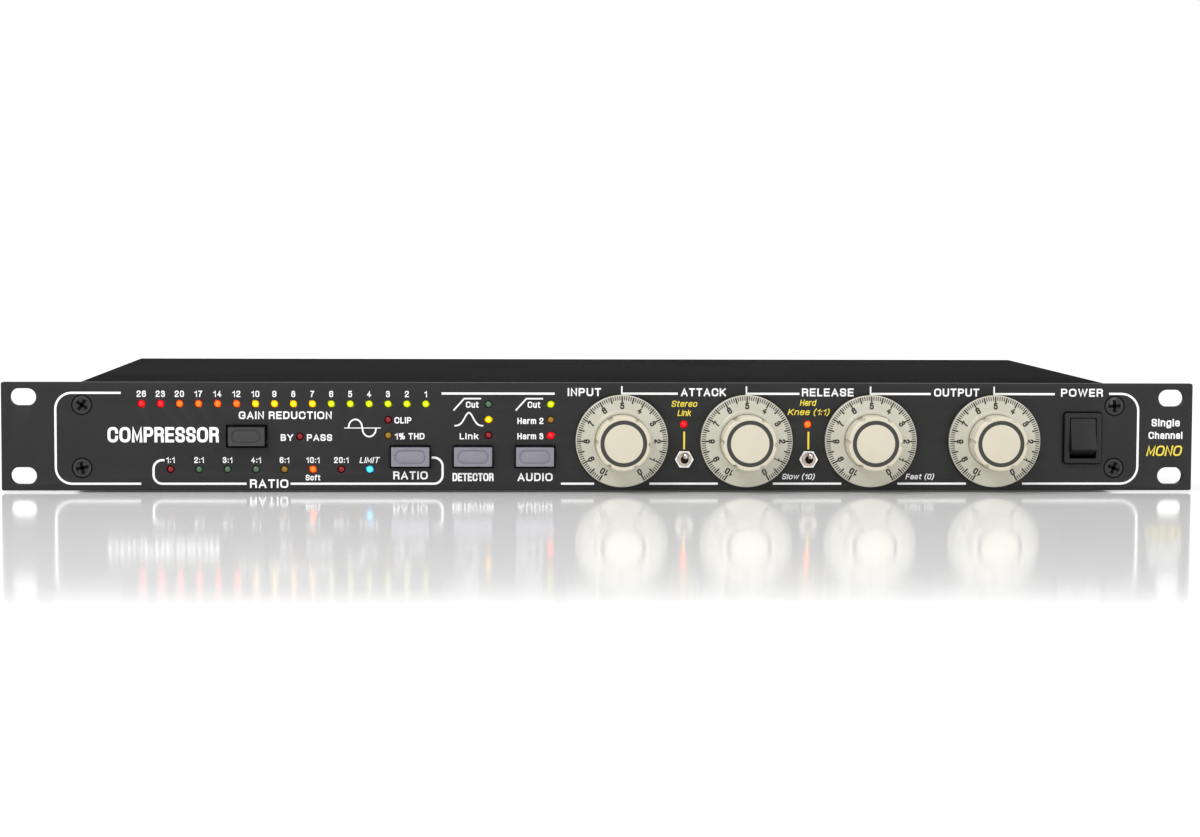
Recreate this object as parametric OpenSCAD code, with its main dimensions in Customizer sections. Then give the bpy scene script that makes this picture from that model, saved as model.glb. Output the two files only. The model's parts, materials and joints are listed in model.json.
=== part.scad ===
// Rack compressor, one rack unit high.
// Origin: centre of the four rack slots, on the back face of the front panel.
// +X is right as seen from the front, the front faces -Y, +Z is up. Millimetres.

/* [Front panel] */
// Width over the rack ears
panel_w = 482.6; // [480:0.1:483]
// Height of one rack unit
panel_h = 43.66; // [43:0.01:44]
// Thickness of the front plate
panel_t = 3.2; // [2.5:0.1:4]
// Distance between the rack slots, across
slot_spacing_x = 465.1; // [464:0.1:466]
// Distance between the rack slots, up
slot_spacing_z = 31.75; // [31:0.05:32]
// Length of a rack slot
slot_length = 10.5; // [8:0.1:12]
// Width of a rack slot
slot_width = 6.9; // [6:0.1:7.2]

/* [Chassis] */
// Width of the box behind the panel
chassis_w = 435; // [430:1:440]
// Depth of the box behind the panel
chassis_d = 264; // [255:1:300]
// Top of the cover below the panel's top edge
top_gap = 2.96; // [2:0.01:4]
// Bottom of the tray above the panel's bottom edge
bottom_gap = 2.6; // [2:0.1:4]
// Sheet thickness of the tray
tray_t = 1.5; // [1:0.1:2]
// Sheet thickness of the cover
cover_t = 1.2; // [1:0.1:1.5]
// Height of the feet
foot_h = 3.4; // [3:0.1:6]

/* [Knobs] */
// Place of the first knob across the panel
knob_first_x = 7.8; // [7:0.1:9]
// Distance from one knob to the next
knob_pitch = 50.6; // [50:0.1:51]
// Height of the knob centres
knob_z = -1.6; // [-2:0.1:0]
// Radius of the dial skirt
skirt_r = 18.7; // [17:0.1:19]
// Radius of the grip
grip_r = 10.95; // [10:0.05:12]
// Height of the grip's top in front of the panel
knob_h = 17; // [16:0.5:22]
// Radius of a potentiometer shaft
shaft_r = 3; // [2.5:0.1:3.1]

/* [Buttons] */
// Width of a button's opening
button_hole_w = 16.7; // [16:0.1:17]
// Height of a button's opening
button_hole_h = 9.4; // [9:0.1:10]
// How far a button stands out of the panel
button_out = 3.4; // [2.5:0.1:4]

/* [Toggles and rocker] */
// Lean of a toggle lever from straight out
toggle_lean = 12.5; // [10:0.5:15]
// Lean of the power rocker from its middle place
rocker_lean = 14; // [10:1:15]
// Place of the power rocker across the panel
rocker_x = 196.05; // [194:0.05:197]

/* [Rear] */
// Place of the mains inlet across the back
inlet_x = 170; // [160:1:175]
// Place of the input connector across the back
xlr_in_x = -180; // [-185:1:-175]
// Place of the output connector across the back
xlr_out_x = -146; // [-150:1:-140]
// Place of the first jack across the back
jack_first_x = -112; // [-115:1:-105]
// Distance from one jack to the next
jack_pitch = 22; // [20:1:24]
// Radius of a jack's bore
jack_bore_r = 3.25; // [3.2:0.01:3.3]

/* [Hidden] */
$fn = 48;

fit_gap = 0.05;     // radial running clearance of a shaft in its bore
part_gap = 0.3;     // gap between neighbouring sheets
ends = [-1, 1];

front_y = -panel_t;
rear_y = chassis_d;                            // outer face of the rear panel
cover_top_z = panel_h / 2 - top_gap;
tray_bottom_z = -panel_h / 2 + bottom_gap;
floor_z = tray_bottom_z + tray_t;              // inner floor of the tray
ceiling_z = cover_top_z - cover_t;             // underside of the cover
wall_x = chassis_w / 2 - cover_t - part_gap;   // outer face of the tray's side walls

// fasteners
panel_screw_x = 209.2;
panel_screw_z = 12.7;
panel_screw_turns = [12, 68, 55, 3];           // how each cross recess happens to stand
screw_head_r = 3.65;
screw_sink_r = 4.25;
screw_shank_r = 1.95;
small_head_r = 2.75;
small_shank_r = 1.45;
small_hole_r = 1.5;
cover_screw_y = [30, 132, 234];
cover_screw_z = 11;
rear_screw_x = 208;
rear_screw_z = 10;
xlr_screw = [9.5, 12];
inlet_screw_x = 20;

// front controls
leds_y = 2.2;                                  // back of an LED's flange
led_r = 1.5;
led_hole_r = 1.6;
gain_leds_at = [for (i = [0:15]) [-185.4 + 7.6 * i, 13.2]];
ratio_leds_at = [for (i = [0:7]) [-173.9 + 11.42 * i, -13.26]];
status_leds_at = [
    [-122, 0], [-86.5, 6.8], [-86.5, 0.46], [-46.05, 13.1], [-46.05, 6.9], [-46.05, 0.5],
    [-20.92, 13.1], [-20.92, 6.8], [-20.92, 0.4], [33.05, 5.05], [83.5, 5.05]];
board_y = 9;                                   // front face of the board behind the panel
board_t = 1.6;
button_at = [[-143.3, 0.12], [-77.6, -8.1], [-52.3, -8.1], [-27.3, -8.1]];
button_travel = 2;
switch_y = 3.5;                                // front face of a button's switch
stem_w = 3.6;
toggle_at = [[33.2, -9.1], [83.8, -9.1]];
toggle_pivot_y = front_y - 0.2;
toggle_bush_r = 2.7;
toggle_bush_out = 3.2;
toggle_bore_r = 1.6;
rocker_z = -0.37;
rocker_bezel = [15.1, 20.4];
rocker_bezel_t = 1.8;
rocker_body = [13, 19];
rocker_opening = [11, 16.7];
rocker_w = 10.3;
rocker_pivot_y = 1;
rocker_pin_r = 1.2;
rocker_ridge_r = 10.1;                         // from the pivot to the rocker's ridges
rocker_ridge_angle = 39.5;
rocker_heel_r = 8.2;                           // from the pivot to the rocker's ends

// potentiometers
pot_r = 8;
pot_bush_r = 3.5;
pot_bush_out = 3.8;
pot_back_y = 8.6;
pot_nut_r = 5.77;
nut_t = 2;
knob_hollow_r = 7;
skirt_back = 0.8;
skirt_face = 4;

// inside
main_board_z = floor_z + 5.8;
main_board = [[-195, 30], [90, 236]];
standoff_at = [for (x = [-185, -52, 80], y = [40, 226]) [x, y]];
transformer_at = [150, 110];
cable_path = [[182, 240], [182, 228], [203, 205], [203, 42], [196, 25]];
cable_r = 3;
cable_z = -8;

// rear connectors
xlr_flange = [26, 31];
xlr_flange_t = 1.6;
xlr_barrel_r = 11.6;
xlr_rim = 2.4;                                 // how far the barrel's rim stands out
xlr_back_y = rear_y - 18;
xlr_pin_r = 1.2;
xlr_pin_ring = 4;
latch_w = 6.2;
latch_z = [10.6, 13.6];
latch_slot_gap = 0.3;
jack_count = 4;
jack_bush_r = 5.5;
jack_bush_out = 6;
inlet_flange = [50, 30.8];
inlet_flange_t = 3;
inlet_body = [27.6, 28];
inlet_back_y = rear_y - 22;
inlet_cavity = [24.2, 16];
inlet_cavity_z = 4.5;
inlet_cavity_d = 16.5;
inlet_pin = [2, 4];
inlet_pins_at = [[-7, 2.5], [7, 2.5], [0, 6.5]];
drawer = [23.8, 6];
drawer_z = -9.9;
drawer_y = rear_y - 14;
drawer_face = [25.2, 7.4];

// A flat shape drawn in X and Z, thickened from y_back towards the front
module plate(y_back, thickness) {
    translate([0, y_back, 0]) rotate([90, 0, 0]) linear_extrude(thickness) children();
}

// A round bar along Y, from y_back towards the front
module rod(at, y_back, length, r) {
    translate([at[0], y_back, at[1]]) rotate([90, 0, 0]) cylinder(h = length, r = r);
}

// A block along Y centred on a place on the panel
module bar(at, y_back, length, size) {
    translate([at[0] - size[0] / 2, y_back - length, at[1] - size[1] / 2]) cube([size[0], length, size[1]]);
}

module rounded_rect(size, r) {
    square([size[0] - 2 * r, size[1]], center = true);
    square([size[0], size[1] - 2 * r], center = true);
    for (x = ends, z = ends) translate([x * (size[0] / 2 - r), z * (size[1] / 2 - r)]) circle(r);
}

// A slot with round ends, lying along X
module round_slot(length, width) {
    square([length - width, width], center = true);
    for (x = ends) translate([x * (length - width) / 2, 0]) circle(width / 2);
}

// Four places mirrored about the centre
module at_corners(x, z) {
    for (sx = ends, sz = ends) translate([sx * x, 0, sz * z]) children();
}

function knob_x(i) = knob_first_x + knob_pitch * i;
function jack_at(i) = [jack_first_x + jack_pitch * i, 0];

// Puts a child's +Z along the way out of the panel, at one knob
module at_knob(i) {
    translate([knob_x(i), front_y, knob_z]) rotate([90, 0, 0]) children();
}

// ---- shell ----

module front_panel() color("dimgray") difference() {
    plate(0, panel_t) rounded_rect([panel_w, panel_h], 0.8);
    at_corners(slot_spacing_x / 2, slot_spacing_z / 2)
        plate(1, panel_t + 2) round_slot(slot_length, slot_width);
    at_corners(panel_screw_x, panel_screw_z) {
        rod([0, 0], 1, panel_t + 2, screw_shank_r + 0.15);
        translate([0, front_y + 2.1, 0]) rotate([90, 0, 0])
            cylinder(h = 2.11, r1 = screw_shank_r + 0.15, r2 = screw_sink_r);
    }
    for (at = concat(gain_leds_at, ratio_leds_at, status_leds_at)) rod(at, 1, panel_t + 2, led_hole_r);
    for (at = button_at) bar(at, 1, panel_t + 2, [button_hole_w, button_hole_h]);
    for (i = [0:3]) rod([knob_x(i), knob_z], 1, panel_t + 2, pot_bush_r + 0.1);
    for (at = toggle_at) rod(at, 1, panel_t + 2, toggle_bush_r + 0.1);
    bar([rocker_x, rocker_z], 1, panel_t + 2, rocker_body + [0.4, 0.4]);
}

module chassis_tray() color("black") difference() {
    flange_w = wall_x - 198;
    side_h = ceiling_z - part_gap - tray_bottom_z;
    union() {
        translate([-wall_x, 0, tray_bottom_z]) cube([2 * wall_x, chassis_d, tray_t]);
        for (s = ends) {
            translate([s * (wall_x - tray_t / 2) - tray_t / 2, 0, tray_bottom_z])
                cube([tray_t, chassis_d, side_h]);
            for (y = [0, chassis_d - 2 * tray_t])
                translate([s * (wall_x - flange_w / 2) - flange_w / 2, y, tray_bottom_z])
                    cube([flange_w, tray_t, side_h]);
        }
    }
    at_corners(panel_screw_x, panel_screw_z) rod([0, 0], 4, 8, screw_shank_r + fit_gap);
    at_corners(rear_screw_x, rear_screw_z) rod([0, 0], chassis_d + 1, 6, small_hole_r);
    for (s = ends, y = cover_screw_y)
        translate([s * wall_x, y, cover_screw_z]) rotate([0, 90, 0])
            cylinder(h = 6, r = small_hole_r, center = true);
    for (s = ends, i = [0:11])
        translate([s * wall_x - 3, 150 + 7 * i, -12]) cube([6, 3, 14]);
    for (at = standoff_at)
        translate([at[0], at[1], floor_z]) cylinder(h = 4, r = small_hole_r, center = true);
    translate([transformer_at[0], transformer_at[1], floor_z]) cylinder(h = 4, r = 2.6, center = true);
    bar([rocker_x, rocker_z], 4, 8, rocker_body + [0.8, 0.8]);
}

module top_cover() color("#161616") difference() {
    lip_h = 13;
    union() {
        translate([-chassis_w / 2, part_gap, ceiling_z]) cube([chassis_w, chassis_d - part_gap, cover_t]);
        for (s = ends)
            translate([s * (chassis_w - cover_t) / 2 - cover_t / 2, part_gap, cover_top_z - lip_h])
                cube([cover_t, chassis_d - part_gap, lip_h]);
    }
    for (s = ends, y = cover_screw_y)
        translate([s * chassis_w / 2, y, cover_screw_z]) rotate([0, 90, 0])
            cylinder(h = 6, r = small_hole_r, center = true);
}

module rear_panel() color("#202020") difference() {
    width = 2 * (wall_x - tray_t - part_gap);
    low_z = floor_z + part_gap;
    high_z = ceiling_z - part_gap;
    translate([-width / 2, rear_y - tray_t, low_z]) cube([width, tray_t, high_z - low_z]);
    at_corners(rear_screw_x, rear_screw_z) rod([0, 0], rear_y + 1, 4, small_hole_r);
    for (x = [xlr_in_x, xlr_out_x]) {
        rod([x, 0], rear_y + 1, 4, xlr_barrel_r + 0.2);
        xlr_screw_places(x) rod([0, 0], rear_y + 1, 4, small_hole_r);
    }
    bar([xlr_in_x, latch_z[1] - 1.2], rear_y + 1, 4, [latch_w + 3.2, 5]);
    for (i = [0:jack_count - 1]) rod(jack_at(i), rear_y + 1, 4, jack_bush_r + 0.1);
    bar([inlet_x, 0], rear_y + 1, 4, inlet_body + [0.4, 0.4]);
    for (s = ends) rod([inlet_x + s * inlet_screw_x, 0], rear_y + 1, 4, small_hole_r);
}

// The two screws of a connector flange stand at opposite corners
module xlr_screw_places(x) {
    for (s = ends) translate([x + s * xlr_screw[0], 0, s * xlr_screw[1]]) children();
}

// ---- fasteners and feet ----

// A cross recess cut into a head that faces +Z at height 0
module cross_recess(length, width, depth) {
    for (turn = [0, 90]) rotate([0, 0, turn]) translate([0, 0, -depth / 2 + 0.01])
        cube([length, width, depth], center = true);
}

module panel_screw(turn) difference() {
    union() {
        cylinder(h = 9, r = screw_shank_r);
        translate([0, 0, 7.1]) cylinder(h = 1.9, r1 = screw_shank_r, r2 = screw_head_r);
    }
    translate([0, 0, 9]) rotate([0, 0, turn]) cross_recess(4.6, 1.1, 1.05);
}

module panel_screws() color("#1c1c1c") {
    places = [for (z = ends, x = ends) [x * panel_screw_x, z * panel_screw_z]];
    for (i = [0:3]) translate([places[i][0], front_y + 9.05, places[i][1]]) rotate([90, 0, 0])
        panel_screw(panel_screw_turns[i]);
}

// A pan head screw standing on height 0, its head above
module pan_screw(length) difference() {
    union() {
        translate([0, 0, -length]) cylinder(h = length + 0.5, r = small_shank_r);
        cylinder(h = 1.7, r = small_head_r);
    }
    translate([0, 0, 1.7]) cross_recess(3.2, 0.7, 1);
}

module cover_screws() color("#1c1c1c") for (s = ends, y = cover_screw_y)
    translate([s * chassis_w / 2, y, cover_screw_z]) rotate([0, s * 90, 0]) pan_screw(5);

module rear_screws() color("silver") {
    at_corners(rear_screw_x, rear_screw_z) translate([0, rear_y, 0]) rotate([-90, 0, 0]) pan_screw(5);
    for (x = [xlr_in_x, xlr_out_x]) xlr_screw_places(x)
        translate([0, rear_y + xlr_flange_t, 0]) rotate([-90, 0, 0]) pan_screw(6);
    for (s = ends) translate([inlet_x + s * inlet_screw_x, rear_y + inlet_flange_t, 0]) rotate([-90, 0, 0])
        pan_screw(8);
}

module rubber_feet() color("#111111") for (x = ends, y = [25, 238])
    translate([x * 190, y, tray_bottom_z - foot_h]) cylinder(h = foot_h, r1 = 5.2, r2 = 6);

// ---- front controls ----

module front_board() color("darkgreen")
    translate([-197, board_y, floor_z + 1]) cube([378, board_t, 33.4]);

// Flange, lens with a domed end, and two leads back to the board
module led(at) translate([at[0], leds_y, at[1]]) rotate([90, 0, 0]) {
    dome_z = leds_y - front_y - 0.4;
    cylinder(h = 1, r = led_r + 0.4);
    cylinder(h = dome_z, r = led_r);
    translate([0, 0, dome_z]) sphere(led_r);
    for (s = ends) translate([s * 1.27 - 0.25, -0.25, leds_y - board_y])
        cube([0.5, 0.5, board_y - leds_y + 0.2]);
}

module gain_leds() color("gold") for (at = gain_leds_at) led(at);
module ratio_leds() color("tomato") for (at = ratio_leds_at) led(at);
module status_leds() color("crimson") for (at = status_leds_at) led(at);

module button_switches() color("#181818") for (at = button_at) difference() {
    bar(at, board_y, board_y - switch_y, [12.5, 8.4]);
    bar(at, switch_y + button_travel + 1.6, 5, [stem_w + 0.6, stem_w + 0.6]);
}

// A key cap with an oval groove in its face and a stem into its switch
module button_cap(at, size) {
    face_y = front_y - button_out;
    difference() {
        bar(at, 1, 1 - face_y, size);
        translate([at[0], 0, at[1]]) plate(face_y + 0.4, 1) difference() {
            round_slot(size[0] - 2.6, size[1] - 1.8);
            round_slot(size[0] - 4, size[1] - 3.2);
        }
    }
    bar(at, switch_y + 0.6, switch_y, [stem_w, stem_w]);
}

module bypass_button() color("#3c3c3e") button_cap(button_at[0], [14.6, 7.5]);
module ratio_button() color("#8f8d98") button_cap(button_at[1], [15.3, 7.6]);
module detector_button() color("#8f8d98") button_cap(button_at[2], [15.3, 7.6]);
module audio_button() color("#8f8d98") button_cap(button_at[3], [15.3, 7.6]);

module pot_bodies() color("#3a4f7a") for (i = [0:3]) difference() {
    union() {
        rod([knob_x(i), knob_z], pot_back_y, pot_back_y - 0.2, pot_r);
        rod([knob_x(i), knob_z], 1, 1 - front_y + pot_bush_out, pot_bush_r);
    }
    rod([knob_x(i), knob_z], 6.4, 20, shaft_r + fit_gap);
}

module hex_nut(corner_r, hole_r, height) difference() {
    cylinder(h = height, r = corner_r, $fn = 6);
    translate([0, 0, -1]) cylinder(h = height + 2, r = hole_r);
}

module panel_nuts() color("silver") {
    for (i = [0:3]) at_knob(i) hex_nut(pot_nut_r, pot_bush_r, nut_t);
    for (at = toggle_at) translate([at[0], front_y, at[1]]) rotate([90, 0, 0])
        hex_nut(3.83, toggle_bush_r, 1.6);
}

module toggle_bodies() color("gainsboro") for (at = toggle_at) difference() {
    union() {
        bar(at, board_y, board_y - 0.2, [8, 13]);
        rod(at, 1, 1 - front_y + toggle_bush_out, toggle_bush_r);
    }
    rod(at, 2.4, 14, toggle_bore_r);
    bar(at, 2.4, 4, [2.4, 4.2]);
}

// A bat lever whose ball sits in the bushing
module toggle_lever(at) color("whitesmoke")
    translate([at[0], toggle_pivot_y, at[1]]) rotate([90 - toggle_lean, 0, 0]) {
        sphere(toggle_bore_r - 0.1);
        translate([0, 0, -4.2]) cylinder(h = 4.2, r = 0.7);
        cylinder(h = 3.7, r = 0.75);
        translate([0, 0, 3.6]) cylinder(h = 5.4, r1 = 0.75, r2 = 1.3);
        translate([0, 0, 9]) sphere(1.3);
    }

module link_toggle_lever() toggle_lever(toggle_at[0]);
module knee_toggle_lever() toggle_lever(toggle_at[1]);

module power_switch_housing() color("#101010") {
    at = [rocker_x, rocker_z];
    difference() {
        union() {
            translate([at[0], 0, at[1]]) plate(front_y, rocker_bezel_t) rounded_rect(rocker_bezel, 0.8);
            bar(at, 14, 14 - front_y + 0.1, rocker_body);
        }
        bar(at, 12, 12 - front_y + 5, rocker_opening);
        translate([at[0], rocker_pivot_y, at[1]]) rotate([0, 90, 0])
            cylinder(h = rocker_body[0] - 0.8, r = rocker_pin_r + fit_gap, center = true);
    }
    for (z = [-5, 0, 5]) bar([rocker_x, rocker_z + z], 21, 7.5, [6.3, 0.8]);
}

// Side shape of the rocker about its pivot, in Y and Z
module rocker_outline() {
    function about(r, a) = [-r * cos(a), r * sin(a)];
    function below(p) = [p[0], -p[1]];
    ridge = about(rocker_ridge_r, rocker_ridge_angle);
    heel = about(rocker_heel_r, 69.5);
    tail = about(rocker_heel_r, 100);
    polygon([
        [ridge[0] + 0.7, 0], ridge, heel, tail, [3, 3], [3, -3],
        below(tail), below(heel), below(ridge)]);
}

module power_rocker() color("#181818")
    translate([rocker_x, rocker_pivot_y, rocker_z]) rotate([-rocker_lean, 0, 0]) {
        rotate([90, 0, 90]) linear_extrude(rocker_w, center = true) rocker_outline();
        rotate([0, 90, 0]) cylinder(h = rocker_body[0] - 1.2, r = rocker_pin_r, center = true);
    }

// ---- knobs ----

module knob_skirt(i) color("#b8b5a2") at_knob(i) rotate_extrude()
    polygon([
        [knob_hollow_r, skirt_back], [skirt_r, skirt_back], [skirt_r, 2.9], [skirt_r - 0.4, 3.3],
        [12.6, skirt_face], [12.2, 4.65], [grip_r + 0.2, 4.65], [grip_r + 0.2, skirt_face],
        [knob_hollow_r, skirt_face]]);

module knob_grip(i) color("#ded6bf") at_knob(i) difference() {
    rotate_extrude() polygon([
        [0, skirt_face], [grip_r, skirt_face], [grip_r, knob_h - 1], [grip_r - 0.9, knob_h],
        [9.35, knob_h], [9.35, knob_h - 0.7], [7.72, knob_h - 0.7], [7.72, knob_h], [0, knob_h]]);
    for (a = [-2:60:300]) rotate([0, 0, a]) translate([grip_r + 0.25, 0, skirt_face - 1])
        cylinder(h = knob_h, r = 1);
    translate([0, 0, skirt_face - 1]) cylinder(h = 11, r = shaft_r);
}

module pot_shaft(i) color("silver")
    rod([knob_x(i), knob_z], 6, 6 - front_y + skirt_face + 9.8, shaft_r);

module input_knob_skirt() knob_skirt(0);
module input_knob_grip() knob_grip(0);
module input_shaft() pot_shaft(0);
module attack_knob_skirt() knob_skirt(1);
module attack_knob_grip() knob_grip(1);
module attack_shaft() pot_shaft(1);
module release_knob_skirt() knob_skirt(2);
module release_knob_grip() knob_grip(2);
module release_shaft() pot_shaft(2);
module output_knob_skirt() knob_skirt(3);
module output_knob_grip() knob_grip(3);
module output_shaft() pot_shaft(3);

// ---- inside ----

module main_board() color("darkgreen") difference() {
    translate([main_board[0][0], main_board[0][1], main_board_z])
        cube([main_board[1][0] - main_board[0][0], main_board[1][1] - main_board[0][1], board_t]);
    for (at = standoff_at) translate([at[0], at[1], main_board_z - 1])
        cylinder(h = board_t + 2, r = small_hole_r);
}

module board_standoffs() color("silver") for (at = standoff_at) difference() {
    translate([at[0], at[1], floor_z]) cylinder(h = main_board_z - floor_z, r = 3.2, $fn = 6);
    translate([at[0], at[1], floor_z - 1]) cylinder(h = 8, r = small_hole_r);
}

module board_screws() color("silver") for (at = standoff_at)
    translate([at[0], at[1], main_board_z + board_t]) pan_screw(5);

module transformer() color("orange") translate([transformer_at[0], transformer_at[1], floor_z + 1])
    rotate_extrude() translate([25, 14]) rounded_rect([25, 28], 5);

module transformer_clamp() color("silver")
    translate([transformer_at[0], transformer_at[1], floor_z]) {
        translate([0, 0, -tray_t]) cylinder(h = 32.2, r = 2.5);
        translate([0, 0, -tray_t - 1.8]) cylinder(h = 1.8, r = 4.6);
        translate([0, 0, 29.1]) cylinder(h = 1.2, r = 24);
        translate([0, 0, 30.2]) cylinder(h = 3, r = 4.6, $fn = 6);
        cylinder(h = 0.9, r = 24);
    }

module filter_capacitors() color("#20285a") for (x = [8, 30], y = [165, 190])
    translate([x, y, main_board_z + board_t]) cylinder(h = 25, r = 9);

module heat_sink() color("silver") translate([76, 140, main_board_z + board_t]) {
    cube([3, 76, 24]);
    for (i = [0:6]) translate([2.9, 12.4 * i, 0]) cube([8, 1.6, 24]);
}

module voltage_regulators() color("#181818") for (y = [153, 178, 203])
    translate([71.4, y, main_board_z + board_t]) {
        translate([0, -5, 4]) cube([4.6, 10, 15.5]);
        for (leg = [-2.54, 0, 2.54]) translate([2, leg - 0.4, 0]) cube([0.6, 0.8, 4.1]);
    }

module integrated_circuits() color("#141414") for (x = [-170:38:58], y = [58, 98, 138])
    translate([x, y, main_board_z + board_t]) cube([10, 6.4, 4]);

module film_capacitors() color("firebrick") for (x = [-152:38:38], y = [78, 118])
    translate([x, y, main_board_z + board_t]) cube([12, 5, 9]);

// A flat cable from the front board to the main board, with a round loop of slack
module ribbon_cable() color("lightgray") translate([-20, 0, 0]) rotate([90, 0, 90]) linear_extrude(40)
    translate([25, -5]) {
        difference() {
            circle(6);
            circle(5);
            translate([-7, -14]) square([14, 14]);
        }
        for (s = ends) translate([s * 7 - 2, -0.5]) square([4, 1]);
    }

module ribbon_connectors() color("#181818") {
    translate([-23, board_y + board_t, -8]) cube([46, 16 - board_y - board_t, 6]);
    translate([-23, 34, main_board_z + board_t]) cube([46, 7, 8]);
}

// Straight runs joined by round bends, a touch fatter than the runs
module mains_cable() color("#222222") {
    for (i = [0:len(cable_path) - 2]) {
        run = cable_path[i + 1] - cable_path[i];
        translate([cable_path[i][0], cable_path[i][1], cable_z]) rotate([0, 90, atan2(run[1], run[0])])
            cylinder(h = norm(run), r = cable_r);
    }
    for (i = [1:len(cable_path) - 2]) translate([cable_path[i][0], cable_path[i][1], cable_z])
        sphere(cable_r + 0.1);
}

// ---- rear connectors ----

module xlr_flange_plate(x, bore_r) difference() {
    union() {
        translate([x, 0, 0]) plate(rear_y + xlr_flange_t, xlr_flange_t) rounded_rect(xlr_flange, 2.5);
        rod([x, 0], rear_y + xlr_rim, rear_y + xlr_rim - xlr_back_y, xlr_barrel_r);
    }
    xlr_screw_places(x) rod([0, 0], rear_y + 3, 5, small_hole_r);
    rod([x, 0], rear_y + 4, 19, bore_r);
}

module xlr_input_shell() color("#2a2a2a") difference() {
    union() {
        xlr_flange_plate(xlr_in_x, 9.7);
        bar([xlr_in_x, 12], rear_y + 0.1, 9, [latch_w + 2.6, 4.8]);
    }
    rod([xlr_in_x, 0], rear_y + 4, 40, 9.7);
    bar([xlr_in_x, (latch_z[0] + latch_z[1]) / 2], rear_y + 4, 11.4,
        [latch_w + 2 * latch_slot_gap, latch_z[1] - latch_z[0] + 2 * latch_slot_gap]);
}

module xlr_input_insert() color("#0c0c0c") difference() {
    union() {
        rod([xlr_in_x, 0], rear_y + 0.6, rear_y + 0.6 - xlr_back_y, 7.9);
        rod([xlr_in_x, 0], xlr_back_y + 4, 4, 9.7);
    }
    for (a = [30, 150, 270])
        rod([xlr_in_x + xlr_pin_ring * cos(a), xlr_pin_ring * sin(a)], rear_y + 4, 17, xlr_pin_r + 0.1);
}

module xlr_input_latch() color("silver")
    bar([xlr_in_x, (latch_z[0] + latch_z[1]) / 2], rear_y + xlr_rim + 1.2, 9,
        [latch_w, latch_z[1] - latch_z[0]]);

module xlr_output_shell() color("#2a2a2a") difference() {
    xlr_flange_plate(xlr_out_x, 8.6);
    for (a = [30, 150, 270])
        rod([xlr_out_x + xlr_pin_ring * cos(a), xlr_pin_ring * sin(a)], rear_y, 30, xlr_pin_r);
}

module xlr_output_pins() color("gold") for (a = [30, 150, 270]) {
    at = [xlr_out_x + xlr_pin_ring * cos(a), xlr_pin_ring * sin(a)];
    rod(at, rear_y - 2.6, rear_y - 2.6 - xlr_back_y + 4, xlr_pin_r);
    translate([at[0], rear_y - 2.6, at[1]]) sphere(xlr_pin_r);
}

module jack_bodies() color("#141414") for (i = [0:jack_count - 1]) difference() {
    union() {
        bar(jack_at(i), rear_y - tray_t - 0.1, 28, [16, 20]);
        rod(jack_at(i), rear_y + jack_bush_out, jack_bush_out + 3, jack_bush_r);
    }
    rod(jack_at(i), rear_y + jack_bush_out + 1, 33, jack_bore_r);
}

module jack_nuts() color("silver") for (i = [0:jack_count - 1])
    translate([jack_at(i)[0], rear_y + 2.5, 0]) rotate([90, 0, 0]) hex_nut(8.08, jack_bush_r, 2.5);

module mains_inlet() color("#121212") translate([inlet_x, 0, 0]) difference() {
    union() {
        plate(rear_y + inlet_flange_t, inlet_flange_t) rounded_rect(inlet_flange, 3);
        bar([0, 0], rear_y + 0.1, rear_y + 0.1 - inlet_back_y, inlet_body);
    }
    translate([0, 0, inlet_cavity_z]) plate(rear_y + inlet_flange_t + 1, inlet_cavity_d + 1)
        rounded_rect(inlet_cavity, 2);
    bar([0, drawer_z], rear_y + inlet_flange_t + 1, rear_y + inlet_flange_t + 1 - drawer_y + 0.5,
        drawer + [0.5, 0.5]);
    for (at = inlet_pins_at) bar(at, rear_y, 30, inlet_pin);
    for (s = ends) rod([s * inlet_screw_x, 0], rear_y + 5, 8, small_hole_r);
}

module mains_inlet_pins() color("gold") for (at = inlet_pins_at)
    bar([inlet_x + at[0], at[1]], rear_y - 0.8, rear_y - 0.8 - inlet_back_y + 6, inlet_pin);

// A small tray for one fuse, with a face plate
module fuse_drawer() color("#1a1a1a") translate([inlet_x, 0, 0]) {
    face_y = rear_y + inlet_flange_t;
    difference() {
        bar([0, drawer_z], face_y, face_y - drawer_y, drawer);
        translate([-10.4, drawer_y + 4, drawer_z - 2.4]) cube([20.8, 5.8, 8]);
    }
    difference() {
        bar([0, drawer_z], face_y + 1.4, 1.4, drawer_face);
        bar([0, drawer_z + 3.2], face_y + 2, 1.4, [8, 1.6]);
    }
}

module fuse() color("lightblue")
    translate([inlet_x - 10, drawer_y + 6.9, drawer_z + 0.2]) rotate([0, 90, 0]) cylinder(h = 20, r = 2.5);

front_panel();
chassis_tray();
top_cover();
rear_panel();
panel_screws();
cover_screws();
rear_screws();
rubber_feet();
front_board();
button_switches();
gain_leds();
ratio_leds();
status_leds();
pot_bodies();
panel_nuts();
toggle_bodies();
power_switch_housing();
main_board();
board_standoffs();
board_screws();
transformer();
transformer_clamp();
filter_capacitors();
voltage_regulators();
heat_sink();
integrated_circuits();
film_capacitors();
ribbon_cable();
ribbon_connectors();
xlr_input_shell();
xlr_input_insert();
xlr_output_shell();
xlr_output_pins();
jack_bodies();
jack_nuts();
mains_inlet();
mains_inlet_pins();
mains_cable();
xlr_input_latch();
fuse_drawer();
fuse();
power_rocker();
link_toggle_lever();
knee_toggle_lever();
bypass_button();
ratio_button();
detector_button();
audio_button();
input_knob_skirt();
input_knob_grip();
input_shaft();
attack_knob_skirt();
attack_knob_grip();
attack_shaft();
release_knob_skirt();
release_knob_grip();
release_shaft();
output_knob_skirt();
output_knob_grip();
output_shaft();
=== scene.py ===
"""Rack compressor: the looks of a one-unit studio compressor, built around its CAD frame."""
import json
import math

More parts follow.
